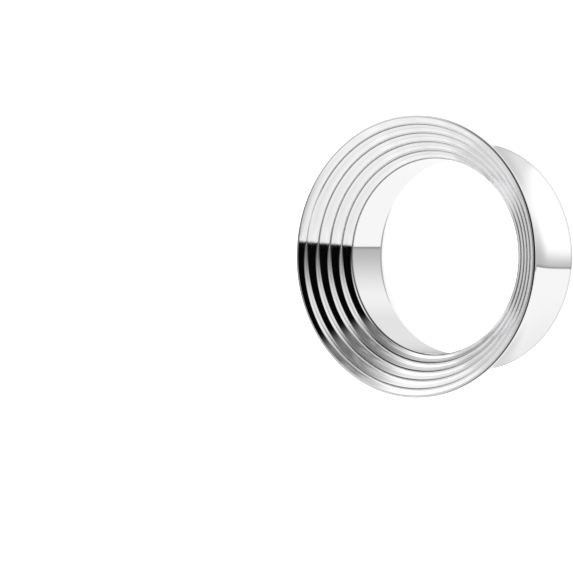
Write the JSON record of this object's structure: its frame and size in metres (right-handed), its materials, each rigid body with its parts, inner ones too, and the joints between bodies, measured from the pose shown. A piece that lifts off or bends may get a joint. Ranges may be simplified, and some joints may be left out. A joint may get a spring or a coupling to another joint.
{
  "type": "ear plug gauge",
  "caption": "Double-flared steel ear tunnel with a wide dished front flange turned in concentric steps round an open bore.",
  "frame": {"origin": "on the bore's axis, in the plane of the back rim that the tunnel lies on", "axes": "+Z along the bore's axis, from the back flare up to the stepped front flange"},
  "size_m": [0.0296, 0.0296, 0.012],
  "materials": {
    "steel": "mirror-polished stainless steel with faint turning marks"
  },
  "bodies": {
    "root": {"tunnel": "steel"}
  },
  "joints": []
}
